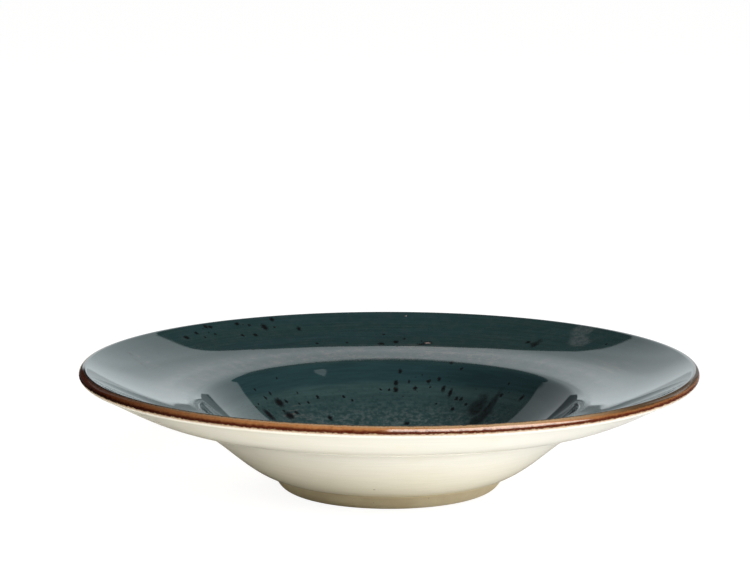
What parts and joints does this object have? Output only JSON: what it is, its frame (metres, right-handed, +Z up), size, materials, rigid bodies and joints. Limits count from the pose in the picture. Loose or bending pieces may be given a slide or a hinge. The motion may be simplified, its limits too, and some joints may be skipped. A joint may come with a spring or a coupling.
{
  "type": "pasta bowl",
  "caption": "Wide-rimmed pasta bowl: a deep round well inside a broad sloping rim, a rounded lip and a bare foot ring, in glazed china with a blue face, brown lip and cream underside.",
  "frame": {"origin": "centre of the circle on which the foot ring stands, at table level, on the bowl's axis", "axes": "+Z up along the bowl's axis of turning; X and Y are equal across the rim"},
  "size_m": [0.27, 0.27, 0.055],
  "materials": {
    "clay": "bare, smoothly wiped, matt",
    "blue_glaze": "glossy dark teal blue reactive glaze with fine brown specks",
    "brown_glaze": "glossy orange brown, darker at its lower edge",
    "cream_glaze": "glossy warm cream"
  },
  "bodies": {
    "root": {"clay_body": "clay", "face_glaze": "blue_glaze", "rim_band": "brown_glaze", "underside_glaze": "cream_glaze", "recess_glaze": "cream_glaze"}
  },
  "joints": []
}
